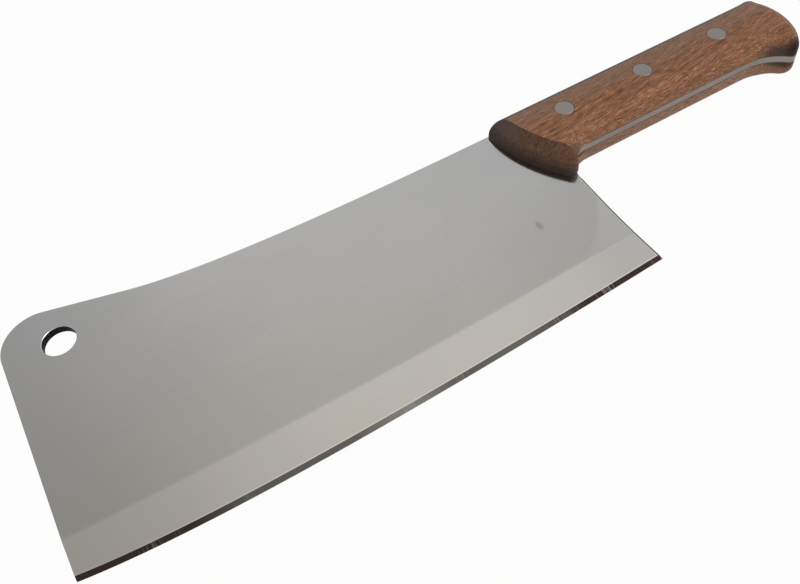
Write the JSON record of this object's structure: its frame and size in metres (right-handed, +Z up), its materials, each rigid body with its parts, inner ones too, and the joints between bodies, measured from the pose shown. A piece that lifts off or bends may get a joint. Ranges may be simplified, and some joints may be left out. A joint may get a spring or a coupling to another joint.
{
  "type": "cleaver",
  "caption": "Heavy kitchen cleaver: broad steel blade with a bevelled edge and a hang hole, and a full tang between riveted wooden scales, for chopping meat.",
  "frame": {"origin": "middle of the bottom of the cleaver's box, as it lies on its side", "axes": "+X from the blade's nose to the handle's butt, +Y from the cutting edge to the spine, +Z up through the thickness"},
  "size_m": [0.3492, 0.112, 0.022],
  "materials": {
    "blade_steel": "polished flats, satin bevel, ground edge",
    "handle_wood": "open-pored hardwood, lightly oiled, satin",
    "rivet_metal": "ground flush, satin"
  },
  "bodies": {
    "root": {"blade": "blade_steel", "upper_scale": "handle_wood", "lower_scale": "handle_wood", "rivet_post_1": "rivet_metal", "rivet_sleeve_1": "rivet_metal", "rivet_post_2": "rivet_metal", "rivet_sleeve_2": "rivet_metal", "rivet_post_3": "rivet_metal", "rivet_sleeve_3": "rivet_metal"}
  },
  "joints": []
}
